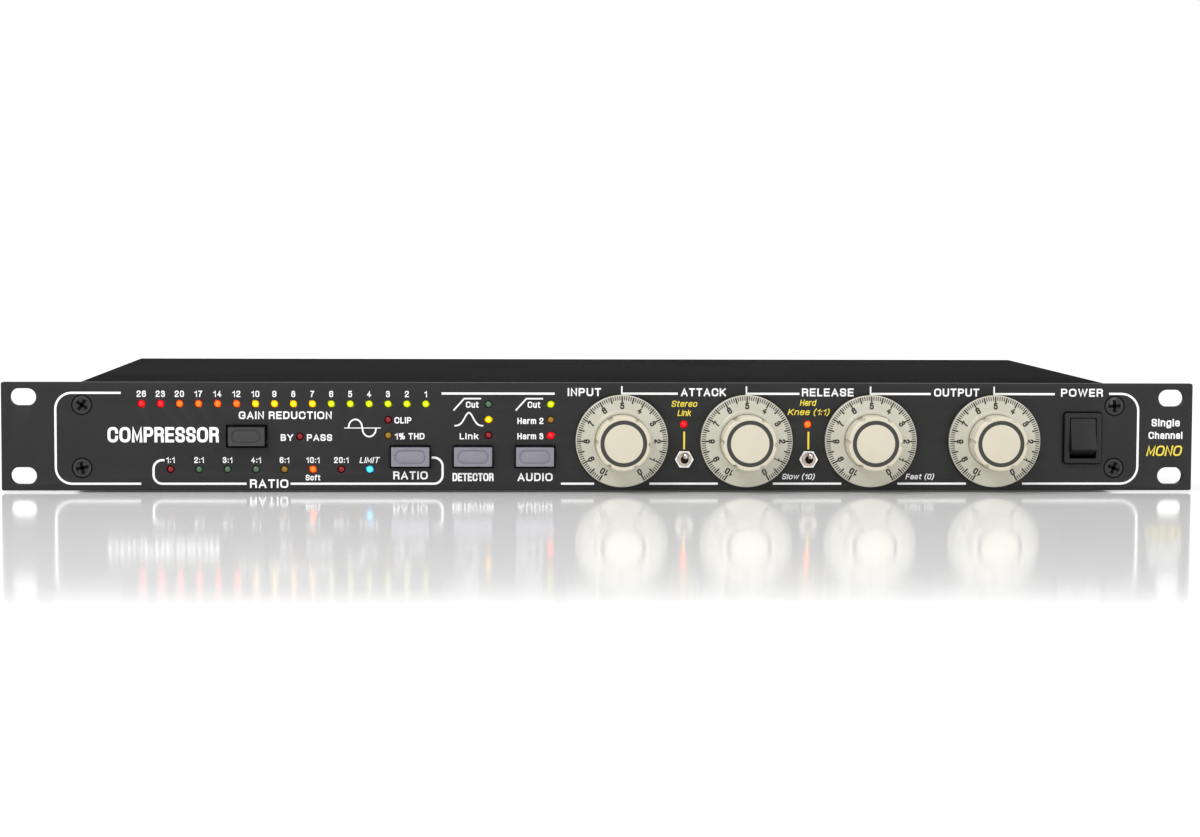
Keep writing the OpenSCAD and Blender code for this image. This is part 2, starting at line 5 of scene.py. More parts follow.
import bmesh
import bpy
from mathutils import Matrix, Vector

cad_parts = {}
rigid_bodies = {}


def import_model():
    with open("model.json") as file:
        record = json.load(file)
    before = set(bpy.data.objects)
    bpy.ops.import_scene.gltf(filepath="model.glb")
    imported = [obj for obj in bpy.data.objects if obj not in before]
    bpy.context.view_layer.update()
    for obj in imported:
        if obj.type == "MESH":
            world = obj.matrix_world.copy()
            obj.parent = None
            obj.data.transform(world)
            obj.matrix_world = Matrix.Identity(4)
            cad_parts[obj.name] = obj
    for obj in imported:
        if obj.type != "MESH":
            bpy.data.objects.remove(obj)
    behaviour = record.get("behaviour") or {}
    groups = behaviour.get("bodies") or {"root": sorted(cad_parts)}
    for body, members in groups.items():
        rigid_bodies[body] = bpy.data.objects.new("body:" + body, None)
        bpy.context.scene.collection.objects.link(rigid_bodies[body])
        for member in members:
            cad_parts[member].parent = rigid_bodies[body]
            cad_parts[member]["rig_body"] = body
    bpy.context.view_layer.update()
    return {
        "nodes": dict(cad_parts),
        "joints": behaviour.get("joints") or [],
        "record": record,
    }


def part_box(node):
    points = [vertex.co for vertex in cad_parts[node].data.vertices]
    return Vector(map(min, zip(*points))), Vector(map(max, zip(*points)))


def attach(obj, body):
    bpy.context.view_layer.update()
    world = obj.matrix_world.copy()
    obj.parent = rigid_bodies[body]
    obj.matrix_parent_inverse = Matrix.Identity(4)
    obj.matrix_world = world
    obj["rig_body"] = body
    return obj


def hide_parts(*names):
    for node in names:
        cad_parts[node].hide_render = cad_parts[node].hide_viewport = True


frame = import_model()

MM = 0.001
NODES = frame["nodes"]
NODE_SLOTS = {entry["node"]: entry["material_slot"] for entry in frame["record"]["subparts"]}
HINGES = {joint["child"]: joint for joint in frame["joints"]}
KNOB_BODIES = ["input_knob", "attack_knob", "release_knob", "output_knob"]

# The panel's front face and the floor under the feet, in metres
FRONT_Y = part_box("front_panel")[0].y
FLOOR_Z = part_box("rubber_feet")[0].z

# Where things stand on the front, in millimetres
GAIN_X = [-185.4 + 7.6 * i for i in range(16)]
RATIO_X = [-173.9 + 11.42 * i for i in range(8)]
TOGGLES = [(33.2, -9.1), (83.8, -9.1)]

# How far each front screw's cross is turned, in degrees, by its corner of the panel
SCREW_TURNS = {(-1, -1): 12, (1, -1): 68, (-1, 1): 55, (1, 1): 3}


# ---------------------------------------------------------------- camera

def add_camera():
    """The photographed view: a long lens, a little left of the middle and above it, aimed slightly down."""
    yaw, pitch, roll = (math.radians(a) for a in (2.61, 3.92, 0.23))
    place = Vector((-51.5, -1108.0, 83.4)) * MM + Vector((0, FRONT_Y, 0))
    forward = Vector((math.sin(yaw) * math.cos(pitch), math.cos(yaw) * math.cos(pitch), -math.sin(pitch)))
    level = Vector((math.cos(yaw), -math.sin(yaw), 0))
    right = level * math.cos(roll) + level.cross(forward) * math.sin(roll)
    up = right.cross(forward)
    camera = bpy.data.objects.new("camera", bpy.data.cameras.new("camera"))
    camera.data.sensor_width = 36.0
    camera.data.lens = 82.4
    camera.data.clip_start = 0.01
    turn = Matrix((right, up, -forward)).transposed().to_4x4()
    camera.matrix_world = Matrix.Translation(place) @ turn
    bpy.context.scene.collection.objects.link(camera)
    bpy.context.scene.camera = camera


# ---------------------------------------------------------------- materials

def noise_node(tree, coords, size, detail=3.0, stretch=(1, 1, 1)):
    """Noise whose grains are about size metres across."""
    mapping = tree.nodes.new("ShaderNodeMapping")
    mapping.inputs["Scale"].default_value = stretch
    noise = tree.nodes.new("ShaderNodeTexNoise")
    noise.inputs["Scale"].default_value = 1.0 / size
    noise.inputs["Detail"].default_value = detail
    tree.links.new(coords.outputs["Object"], mapping.inputs["Vector"])
    tree.links.new(mapping.outputs["Vector"], noise.inputs["Vector"])
    return noise


def ramp_node(tree, value, low, high, colour_low, colour_high):
    """A colour that runs from colour_low to colour_high as value goes from low to high."""
    ramp = tree.nodes.new("ShaderNodeValToRGB")
    ramp.color_ramp.elements[0].position = low
    ramp.color_ramp.elements[1].position = high
    ramp.color_ramp.elements[0].color = (*colour_low, 1)
    ramp.color_ramp.elements[1].color = (*colour_high, 1)
    tree.links.new(value, ramp.inputs["Fac"])
    return ramp


def material(name, colour, roughness, tone=0.08, tone_size=0.03, grain=0.0005, bump=0.08, rough_spread=0.08,
             stretch=(1, 1, 1), edge_wear_and_highlight=None, **sockets):
    """A surface with slow colour variation, a fine bump and uneven gloss. The optional edge colour is laid
    on its sharp edges: partly rubbed wear, partly a painted edge highlight.
    """
    made = bpy.data.materials.new(name)
    made.use_nodes = True
    tree = made.node_tree
    shader = tree.nodes["Principled BSDF"]
    coords = tree.nodes.new("ShaderNodeTexCoord")
    slow = noise_node(tree, coords, tone_size, 4.0)
    fine = noise_node(tree, coords, grain, 2.0, stretch)
    darker = [c * (1 - tone) for c in colour]
    lighter = [min(1.0, c * (1 + tone)) for c in colour]
    tint = ramp_node(tree, slow.outputs["Fac"], 0.3, 0.7, darker, lighter).outputs["Color"]
    # Sharp edges, found by pointiness, take the edge colour: rubbed wear on some parts, a painted highlight
    # on others.
    if edge_wear_and_highlight:
        geometry = tree.nodes.new("ShaderNodeNewGeometry")
        edge = ramp_node(tree, geometry.outputs["Pointiness"], 0.52, 0.6, (0, 0, 0), (1, 1, 1))
        mix = tree.nodes.new("ShaderNodeMix")
        mix.data_type = "RGBA"
        mix.inputs["B"].default_value = (*edge_wear_and_highlight, 1)
        tree.links.new(edge.outputs["Color"], mix.inputs["Factor"])
        tree.links.new(tint, mix.inputs["A"])
        tint = mix.outputs["Result"]
    tree.links.new(tint, shader.inputs["Base Color"])
    gloss = tree.nodes.new("ShaderNodeMapRange")
    gloss.inputs["To Min"].default_value = max(0.02, roughness - rough_spread)
    gloss.inputs["To Max"].default_value = min(1.0, roughness + rough_spread)
    tree.links.new(fine.outputs["Fac"], gloss.inputs["Value"])
    tree.links.new(gloss.outputs["Result"], shader.inputs["Roughness"])
    relief = tree.nodes.new("ShaderNodeBump")
    relief.inputs["Strength"].default_value = bump
    relief.inputs["Distance"].default_value = grain * 0.2
    tree.links.new(fine.outputs["Fac"], relief.inputs["Height"])
    tree.links.new(relief.outputs["Normal"], shader.inputs["Normal"])
    for socket, value in sockets.items():
        shader.inputs[socket.replace("_", " ")].default_value = value
    return made


def led_material(name, colour, glow=0.0):
    """Tinted plastic that may glow, brightest at the domed end and dim round its foot."""
    made = material(name, [c * 0.4 for c in colour], 0.3, tone=0.12, tone_size=0.002, grain=0.0006,
                    bump=0.05, Emission_Strength=glow)
    tree = made.node_tree
    geometry = tree.nodes.new("ShaderNodeNewGeometry")
    split = tree.nodes.new("ShaderNodeSeparateXYZ")
    tree.links.new(geometry.outputs["Normal"], split.inputs["Vector"])
    shift = tree.nodes.new("ShaderNodeMapRange")
    shift.inputs["From Min"].default_value = -0.9
    shift.inputs["From Max"].default_value = -0.25
    tree.links.new(split.outputs["Y"], shift.inputs["Value"])
    glow_ramp = ramp_node(tree, shift.outputs["Result"], 0.0, 1.0, colour, [c * 0.06 for c in colour])
    tree.links.new(glow_ramp.outputs["Color"], tree.nodes["Principled BSDF"].inputs["Emission Color"])
    return made


def make_materials():
    return {
        "panel_paint": material("panel_paint", (0.0125, 0.0123, 0.0125), 0.5, tone=0.1, tone_size=0.05,
            grain=0.0006, bump=0.25, rough_spread=0.06, Specular_IOR_Level=0.35),
        "chassis_paint": material("chassis_paint", (0.013, 0.013, 0.0137), 0.75, tone=0.15,
            tone_size=0.04, grain=0.0008, bump=0.35, IOR=1.03),
        # Painted highlight: the screw heads' sharp rims are lightened, standing in for the light their rims
        # catch.
        "black_screws": material("black_screws", (0.011, 0.0105, 0.0105), 0.42, tone=0.2, tone_size=0.003,
            grain=0.0003, bump=0.1, edge_wear_and_highlight=(0.07, 0.065, 0.065), Specular_IOR_Level=0.35),
        "zinc_screws": material("zinc_screws", (0.62, 0.61, 0.58), 0.32, tone=0.1, tone_size=0.004,
            grain=0.0003, Metallic=1.0),
        "foot_rubber": material("foot_rubber", (0.018, 0.018, 0.018), 0.8, tone=0.2, tone_size=0.01,
            grain=0.0005, bump=0.3),
        "circuit_board": material("circuit_board", (0.015, 0.1, 0.045), 0.4, tone=0.35, tone_size=0.006,
            grain=0.0012, bump=0.15, Coat_Weight=0.3),
        "black_plastic": material("black_plastic", (0.01, 0.01, 0.011), 0.42, tone=0.12, tone_size=0.01,
            grain=0.0004, bump=0.15, Specular_IOR_Level=0.35),
        "pot_case": material("pot_case", (0.05, 0.09, 0.2), 0.45, tone_size=0.006),
        "nickel": material("nickel", (1.0, 0.98, 0.94), 0.36, tone=0.06, tone_size=0.003, grain=0.0004,
            bump=0.08, rough_spread=0.1, Metallic=1.0),
        "bushing_metal": material("bushing_metal", (0.5, 0.42, 0.36), 0.3, tone=0.1, tone_size=0.003,
            grain=0.0004, Metallic=1.0),
        # Painted highlight: the lever's sharp edges are lit near white, standing in for glints on the
        # lever.
        "lever_metal": material("lever_metal", (0.34, 0.3, 0.28), 0.18, tone=0.1, tone_size=0.003,
            grain=0.0004, bump=0.05, edge_wear_and_highlight=(0.9, 0.88, 0.85), Metallic=1.0),
        "gold_plate": material("gold_plate", (0.85, 0.62, 0.25), 0.22, tone_size=0.003, Metallic=1.0),
        "connector_shell": material("connector_shell", (0.03, 0.03, 0.032), 0.42, tone=0.15,
            tone_size=0.008, grain=0.0004, bump=0.2, edge_wear_and_highlight=(0.09, 0.09, 0.09)),
        "winding_wrap": material("winding_wrap", (0.62, 0.43, 0.07), 0.35, tone=0.25, tone_size=0.008,
            grain=0.002, bump=0.5, stretch=(1, 1, 0.1)),
        "capacitor_sleeve": material("capacitor_sleeve", (0.02, 0.03, 0.12), 0.3, tone_size=0.01),
        "chip_epoxy": material("chip_epoxy", (0.02, 0.02, 0.021), 0.6, tone_size=0.004, bump=0.3),
        "heat_sink_metal": material("heat_sink_metal", (0.7, 0.7, 0.71), 0.38, tone=0.08, tone_size=0.01,
            stretch=(1, 0.05, 1), bump=0.2, Metallic=1.0),
        "capacitor_box": material("capacitor_box", (0.42, 0.04, 0.03), 0.35, tone_size=0.006),
        "ribbon_sheath": material("ribbon_sheath", (0.42, 0.42, 0.44), 0.5, tone=0.25, tone_size=0.004,
            grain=0.0013, bump=0.6, stretch=(1, 0.02, 0.02)),
        "cable_sheath": material("cable_sheath", (0.02, 0.02, 0.02), 0.5, tone_size=0.01),
        "fuse_glass": material("fuse_glass", (0.8, 0.86, 0.86), 0.1, tone=0.03, Transmission_Weight=0.7),
        "dark_cap": material("dark_cap", (0.033, 0.033, 0.035), 0.42, tone=0.08, tone_size=0.01,
            grain=0.0003, bump=0.12),
        "grey_cap": material("grey_cap", (0.225, 0.217, 0.262), 0.42, tone=0.05, tone_size=0.008,
            grain=0.0003, bump=0.12, Subsurface_Weight=0.05, Subsurface_Scale=0.001),
        "skirt_plastic": material("skirt_plastic", (0.52, 0.505, 0.415), 0.3, tone=0.05, tone_size=0.01,
            grain=0.0005, bump=0.1, Coat_Weight=0.25, Coat_Roughness=0.2),
        "grip_plastic": material("grip_plastic", (0.61, 0.565, 0.445), 0.32, tone=0.03, tone_size=0.012,
            grain=0.0004, bump=0.08, Subsurface_Weight=0.08, Subsurface_Scale=0.0015),
        "shaft_steel": material("shaft_steel", (0.6, 0.6, 0.6), 0.3, tone_size=0.004, Metallic=1.0),
        "ring_black": material("ring_black", (0.03, 0.029, 0.026), 0.45, tone_size=0.004, bump=0.1),
        "dial_ink": material("dial_ink", (0.008, 0.008, 0.007), 0.6, tone=0.15, tone_size=0.002,
            bump=0.1),
        "white_ink": material("white_ink", (0.92, 0.92, 0.93), 0.6, tone=0.02, tone_size=0.004,
            grain=0.0003, bump=0.1),
        "yellow_ink": material("yellow_ink", (0.83, 0.65, 0.055), 0.55, tone=0.04, tone_size=0.004,
            grain=0.0003, bump=0.1),
        "floor": material("floor", (0.9, 0.9, 0.9), 0.1, tone=0.01, tone_size=0.4, grain=0.01, bump=0.0,
            rough_spread=0.02, IOR=1.7, Emission_Color=(1, 1, 1, 1), Emission_Strength=0.06),
        # Painted shade: near-black matte laid where gaps and recesses would lie in shadow.
        "gap_black": material("gap_black", (0.002, 0.002, 0.002), 0.8, tone_size=0.002,
            Specular_IOR_Level=0.1),
    }


# Each lamp's colour and how strongly it glows
LED_COLOURS = {
    "red_lit": ((1.0, 0.001, 0.004), 3.2), "orange_lit": ((1.0, 0.083, 0.002), 2.8),
    "yellow_lit": ((1.0, 0.49, 0.0), 2.2), "green_lit": ((0.66, 0.88, 0.0), 1.15),
    "blue_lit": ((0.035, 0.42, 0.8), 3.1), "amber_lit": ((1.0, 0.073, 0.002), 3.2),
    "red_dim": ((0.36, 0.002, 0.012), 0.25), "green_dim": ((0.15, 0.3, 0.16), 0.1),
    "amber_dim": ((0.55, 0.3, 0.015), 0.15)}

SKINS = make_materials()
for led_name, (led_colour, led_glow) in LED_COLOURS.items():
    SKINS[led_name] = led_material("led_" + led_name, led_colour, led_glow)


# ---------------------------------------------------------------- mesh tools

def add_piece(name, mesh, body, skin, replaces=()):
    """A finished mesh as a piece of the object."""
    piece = bpy.data.objects.new(name, mesh)
    bpy.context.scene.collection.objects.link(piece)
    mesh.materials.clear()
    mesh.materials.append(SKINS[skin])
    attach(piece, body)
    if replaces:
        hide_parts(*replaces)
    return piece


def mesh_from(name, points, faces, smooth_angle=35):
    """A mesh with its faces turned outward and its gentle edges smooth."""
    mesh = bpy.data.meshes.new(name)
    mesh.from_pydata([tuple(p) for p in points], [], faces)
    work = bmesh.new()
    work.from_mesh(mesh)
    bmesh.ops.recalc_face_normals(work, faces=work.faces)
    work.to_mesh(mesh)
    work.free()
    shade(mesh, smooth_angle)
    return mesh


def shade(mesh, smooth_angle):
    """Smooth shading, broken at edges sharper than the angle."""
    limit = math.radians(smooth_angle)
    work = bmesh.new()
    work.from_mesh(mesh)
    for face in work.faces:
        face.smooth = True
    for edge in work.edges:
        edge.smooth = len(edge.link_faces) == 2 and edge.calc_face_angle(0) < limit
    work.to_mesh(mesh)
    work.free()


def joined(name, meshes):
    """Several meshes as one."""
    work = bmesh.new()
    for mesh in meshes:
        work.from_mesh(mesh)
    result = bpy.data.meshes.new(name)
    work.to_mesh(result)
    work.free()
    for mesh in meshes:
        bpy.data.meshes.remove(mesh)
    return result


def lathe(name, outline, turns=96, radius_at=None, smooth_angle=35):
    """An outline of (radius, height) turned about +Z. radius_at(radius, height, angle) may reshape it."""
    points, faces, rings = [], [], []
    for radius, height in outline:
        if radius < 1e-9:
            rings.append([len(points)])
            points.append((0, 0, height))
            continue
        rings.append(list(range(len(points), len(points) + turns)))
        for i in range(turns):
            angle = 2 * math.pi * i / turns
            r = radius_at(radius, height, angle) if radius_at else radius
            points.append((r * math.cos(angle), r * math.sin(angle), height))
    for low, high in zip(rings, rings[1:]):
        for i in range(turns):
            j = (i + 1) % turns
            if len(low) == 1:
                faces.append((low[0], high[j], high[i]))
            elif len(high) == 1:
                faces.append((low[i], low[j], high[0]))
            else:
                faces.append((low[i], low[j], high[j], high[i]))
    return mesh_from(name, points, faces, smooth_angle)


def rounded(corners, radius, steps=6):
    """An outline of (r, h) corners, the inner ones rounded. radius is one number or one per corner."""
    result = [Vector(corners[0])]
    for i in range(1, len(corners) - 1):
        before, here, after = (Vector(corners[k]) for k in (i - 1, i, i + 1))
        reach = radius[i] if isinstance(radius, (list, tuple)) else radius
        to_before, to_after = before - here, after - here
        reach = min(reach, to_before.length * (0.98 if i == 1 else 0.48),
                    to_after.length * (0.98 if i == len(corners) - 2 else 0.48))
        start, end = here + to_before.normalized() * reach, here + to_after.normalized() * reach
        for k in range(steps + 1):
            t = k / steps
            result.append(start * (1 - t) ** 2 + here * 2 * t * (1 - t) + end * t ** 2)
    result.append(Vector(corners[-1]))
    return result


def outward(mesh, x, z, y=FRONT_Y):
    """Stands a mesh made about +Z on the front at (x, z), its +Z pointing out of the panel."""
    mesh.transform(Matrix.Translation((x, y, z)) @ Matrix.Rotation(math.radians(90), 4, "X"))
    return mesh


def softened(node, width, skin, name, segments=2):
    """Stands in for a CAD node: the same solid with its hard edges rounded by width."""
    mesh = NODES[node].data.copy()
    work = bmesh.new()
    work.from_mesh(mesh)
    bmesh.ops.remove_doubles(work, verts=work.verts, dist=1e-6)
    bmesh.ops.dissolve_limit(work, angle_limit=math.radians(1), verts=work.verts, edges=work.edges)
    work.to_mesh(mesh)
    work.free()
    piece = add_piece(name, mesh, NODES[node]["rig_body"], skin, (node,))
    bevel = piece.modifiers.new("bevel", "BEVEL")
    bevel.width = width
    bevel.segments = segments
    bevel.limit_method = "ANGLE"
    bevel.angle_limit = math.radians(30)
    bevel.use_clamp_overlap = True
    bpy.context.view_layer.update()
    final = bpy.data.meshes.new_from_object(piece.evaluated_get(bpy.context.evaluated_depsgraph_get()))
    piece.modifiers.clear()
    piece.data = final
    shade(final, 40)


# ---------------------------------------------------------------- ink on the panel

def on_panel(x, z, lift):
    """Where a painted spot stands: x and z in millimetres on the front face, lift above it."""
    return x * MM, FRONT_Y - lift * MM, z * MM


def ribbon(points, width, place=on_panel, lift=0.03, ends=0.0):
    """A painted line along flat points in millimetres, as a thin closed bar. ends lengthens both ends."""
    spots = [Vector(p) for p in points]
    spots[0] += (spots[0] - spots[1]).normalized() * ends
    spots[-1] += (spots[-1] - spots[-2]).normalized() * ends
    count, half = len(spots), width / 2
    verts, faces = [], []
    for i, spot in enumerate(spots):
        before = (spot - spots[i - 1]).normalized() if i else None
        after = (spots[i + 1] - spot).normalized() if i < count - 1 else None
        along = ((before or after) + (after or before)).normalized()
        side = Vector((-along.y, along.x))
        bend = side.dot(Vector((-(after or before).y, (after or before).x)))
        reach = side * (half / max(0.6, bend))
        for s in (1, -1):
            for height in (-0.03, lift + 0.006 * i / count):
                verts.append(place(spot.x + s * reach.x, spot.y + s * reach.y, height))
    for i in range(count - 1):
        a, b = 4 * i, 4 * i + 4
        faces += [(a, a + 1, b + 1, b), (a + 1, a + 3, b + 3, b + 1), (a + 3, a + 2, b + 2, b + 3),
                  (a + 2, a, b, b + 2)]
    last = 4 * (count - 1)
    faces += [(0, 2, 3, 1), (last, last + 1, last + 3, last + 2)]
    return mesh_from("ribbon", verts, faces, 20)


def cornered(points, radius, steps=8):
    """A line through (x, z) points with round corners."""
    result = [points[0]]
    for i in range(1, len(points) - 1):
        before, here, after = (Vector(points[k]) for k in (i - 1, i, i + 1))
        out, on = (before - here).normalized(), (after - here).normalized()
        centre = here + (out + on) * radius
        start, end = here + out * radius - centre, here + on * radius - centre
        sweep = start.angle_signed(end)
        for k in range(steps + 1):
            turned = start.copy()
            turned.rotate(Matrix.Rotation(-sweep * k / steps, 2))
            result.append(tuple(centre + turned))
    result.append(points[-1])
    return result


# Letterforms as strokes on a grid whose capitals are 20 high: "x,y" is a corner and "x,y,r" a rounded one.
GLYPHS = {
    "A": "0,0 7,20 14,0|3,6 11,6", "B": "0,10 0,20 11,20,5 11,10,5 0,10 0,0 12,0,5 12,10,5 0,10",
    "C": "14,14 14,20,7 0,20,7 0,0,7 14,0,7 14,6", "D": "0,0 0,20 13,20,8 13,0,8 0,0",
    "E": "11,20 0,20 0,0 11,0|0,10 10,10", "G": "14,14 14,20,7 0,20,7 0,0,7 14,0,7 14,9 9,9",
    "F": "10,20 0,20 0,0|0,10 9,10", "H": "0,0 0,20|0,10 12,10|12,0 12,20", "I": "0,0 0,20",
    "K": "0,0 0,20|12,20 0,7|4,11 13,0", "L": "0,20 0,0 9,0", "M": "0,0 0,20 7,3 14,20 14,0",
    "N": "0,0 0,20 12,0 12,20", "O": "7.5,20 0,20,7 0,0,7 15,0,7 15,20,7 7.5,20",
    "P": "0,0 0,20 12,20,5 12,9,5 0,9", "R": "0,0 0,20 12,20,5 12,10,5 0,10|6,10 11.5,10,4 12,0",
    "S": "12,15 12,20,6 0,20,6 0,11,5 12,9,5 12,0,6 0,0,6 0,5", "T": "0,20 12,20|6,20 6,0",
    "U": "0,20 0,0,7 13,0,7 13,20", "W": "0,20 5,0 10,20 15,0 20,20", "Y": "0,20 7,9 14,20|7,9 7,0",
    "a": "1,11 1,15,4 10,15,4 10,0|10,8 0,8,4 0,0,4 10,0,4 10,5",
    "d": "11,20 11,0|11,7 11,15,5 0,15,5 0,0,5 11,0,5 11,7",
    "e": "0,8 10,8 10,15,5 0,15,5 0,0,5 10,0,5 10,3", "f": "6,20 2,20,3 2,0|0,15 6,15",
    "g": "11,15 11,-6,5 0,-6,5 0,-4|11,8 11,15,5 0,15,5 0,0,5 11,0,5 11,8",
    "h": "0,0 0,20|0,7 0,15,5 10,15,5 10,0", "i": "0,0 0,15|0,19.5 0,20",
    "k": "0,0 0,20|9,15 0,6|4,9 10,0", "l": "0,0 0,20",
    "m": "0,0 0,15|0,7 0,15,4 8,15,4 8,0|8,7 8,15,4 16,15,4 16,0",
    "n": "0,0 0,15|0,7 0,15,5 10,15,5 10,0", "o": "5.5,15 0,15,5 0,0,5 11,0,5 11,15,5 5.5,15",
    "r": "0,0 0,15|0,7 0,15,5 6,15", "s": "9,11 9,15,4 0,15,4 0,8,4 10,7,4 10,0,4 0,0,4 0,4",
    "t": "2,19 2,0,3 6,0|0,15 6,15", "u": "0,15 0,0,5 10,0,5 10,7|10,15 10,0",
    "w": "0,15 4,0 8,15 12,0 16,15", "0": "5.5,20 0,20,5 0,0,5 11,0,5 11,20,5 5.5,20",
    "1": "0,15 4,16,2 6,20 6,0", "2": "0,14 0,20,5 11,20,5 11,12,5 0,3,4 0,0 11,0",
    "3": "0,15 0,20,5 10,20,5 10,11,4 4,11|4,11 11,11,5 11,0,5 0,0,5 0,5", "4": "8,0 8,20 0,6 12,6",
    "5": "10,20 1,20 0,10 2,13,2 11,13,5 11,0,6 0,0,5 0,4",
    "6": "11,16 11,20,5 0,20,6 0,0,5 11,0,5 11,12,5 0,12,5 0,6", "7": "0,20 11,20 4,9,4 3,0",
    "8": "5,11 1,11,4 1,20,4 10,20,4 10,11,4 5,11 0,11,4 0,0,5 11,0,5 11,11,4 5,11",
    "9": "0,4 0,0,5 11,0,6 11,20,5 0,20,5 0,8,5 11,8,5 11,14", ":": "0,1.5 0,2|0,12.5 0,13",
    "%": "3,20 0,20,3 0,10,3 6,10,3 6,20,3 3,20|14,10 11,10,3 11,0,3 17,0,3 17,10,3 14,10|5,-1 12,21",
    "(": "4,22 0,16,6 0,2,6 4,-4", ")": "0,22 4,16,6 4,2,6 0,-4"}

# Each style's stroke width as a share of its height, its slant, and its letter spacing in strokes
STYLES = {
    "bold": (0.19, 0.0, 1.65), "plain": (0.17, 0.0, 2.15),
    "dial": (0.22, 0.0, 1.65), "italic": (0.155, 0.2, 1.65)}


def letter_strokes(text, height, style):
    """The lettering's strokes from (0, 0) in millimetres, and how wide each is."""
    weight, lean, spacing = STYLES[style]
    stroke = weight * height
    unit = (height - stroke) / 20
    pen, strokes = 0.0, []
    for letter in text:
        if letter == " ":
            pen += 9 * unit
            continue
        reach = 0.0
        for path in GLYPHS[letter].split("|"):
            corners = [[float(n) for n in spot.split(",")] for spot in path.split()]
            radii = [(corner[2] if len(corner) > 2 else 0) * unit for corner in corners]
            spots = [Vector((x * unit, y * unit)) for x, y, *_ in corners]
            reach = max([reach] + [spot.x for spot in spots])
            strokes.append([Vector((pen + p.x + lean * p.y, p.y)) for p in rounded(spots, radii, 4)])
        pen += reach + stroke * spacing
    return strokes, stroke


def lettering(text, height, style, place, width=None):
    """Lettering centred on (0, 0) before place puts it somewhere. width stretches it sideways."""
    strokes, stroke = letter_strokes(text, height, style)
    low = min(p.x for path in strokes for p in path)
    high = max(p.x for path in strokes for p in path)
    stretch = (width - stroke) / (high - low) if width else 1.0
    meshes = []
    for n, path in enumerate(strokes):
        spots = [Vector(((p.x - (low + high) / 2) * stretch, p.y - (height - stroke) / 2)) for p in path]
        tidy = [spots[0]] + [b for a, b in zip(spots, spots[1:]) if (b - a).length > 1e-4]
        meshes.append(ribbon(tidy, stroke, place, 0.03 + 0.008 * (n % 3), stroke / 2))
    return meshes


def label(text, left, right, middle, height, style="bold"):
    """Lettering on the panel from left to right, its capitals centred on middle; all in millimetres.
    Where right is None, left is the lettering's centre and its width follows from its height."""
    centre = left if right is None else (left + right) / 2
    return lettering(text, height, style, lambda x, z, lift: on_panel(centre + x, middle + z, lift),
                     None if right is None else right - left)


# ---------------------------------------------------------------- front panel

def hinge_mm(body):
    """Where a body's hinge stands on the panel, in millimetres."""
    x, _, z = HINGES[body]["pos_m"]
    return x / MM, z / MM


def sine_points(left, right, middle, high, low):
    """One full wave, its crests flatter than a true sine's."""
    points = []
    for i in range(41):
        t = i / 40
        wave = math.sin(2 * math.pi * t)
        squared = math.copysign(abs(wave) ** 0.42, wave)
        reach = high - middle if wave > 0 else middle - low
        points.append((left + (right - left) * t, middle + squared * reach))
    return points


def bell_points(left, right, low, high):
    """A band-pass curve: flat feet and one round peak."""
    points = []
    for i in range(33):
        t = 2 * i / 32 - 1
        x = (left + right) / 2 + t * (right - left) / 2
        points.append((x, low + (high - low) * math.exp(-(t / 0.42) ** 2)))
    return points


def add_panel_lines():
    wide, fine = 0.87, 0.6
    knobs_x = [hinge_mm(body)[0] for body in KNOB_BODIES]
    top, low = 17.55, -19.08
    lines = [
        (cornered([(-193.6, top), (-219.7, top), (-219.7, low), (-185.7, low)], 6.5), wide),
        (cornered([(-176.3, -9.55), (-180.7, -9.55), (-180.7, low), (-143.5, low)], 3.5), wide),
        (cornered([(-125.8, low), (-64.6, low), (-64.6, -8.5), (-69.0, -8.5)], 3.5), wide),
        ([(-65.0, 17.45), (-19.4, 17.45)], wide),
        (cornered([(171.6, low), (219.0, low), (219.0, 17.67), (206.85, 17.67)], 7.0), wide),
    ]
    for left, right in ((-16.7, -3.3), (19.2, 47.0), (69.5, 97.4), (120.4, 148.5)):
        lines.append(([(left, low), (right, low)], wide))
    for x, right in zip(knobs_x, (30.5, 80.0, 133.6, 184.5)):
        lines.append(([(x, 17.1), (x, 20.5)], 0.6))
        lines.append(([(x, 17.5), (right, 17.5)], wide))
    lines.append((sine_points(-102.5, -91.4, 3.47, 6.95, 0.0), 0.62))
    lines.append(([(-104.2, 3.47), (-89.5, 3.47)], 0.35))
    lines.append(([(-60.2, 10.6), (-55.9, 15.4), (-49.1, 15.4)], fine))
    lines.append(([(-35.1, 10.6), (-30.8, 15.4), (-24.1, 15.4)], fine))
    lines.append((bell_points(-59.8, -48.2, 4.4, 9.7), fine))
    mesh = joined("panel_lines", [ribbon(points, width) for points, width in lines])
    add_piece("panel_lines", mesh, "chassis", "white_ink")


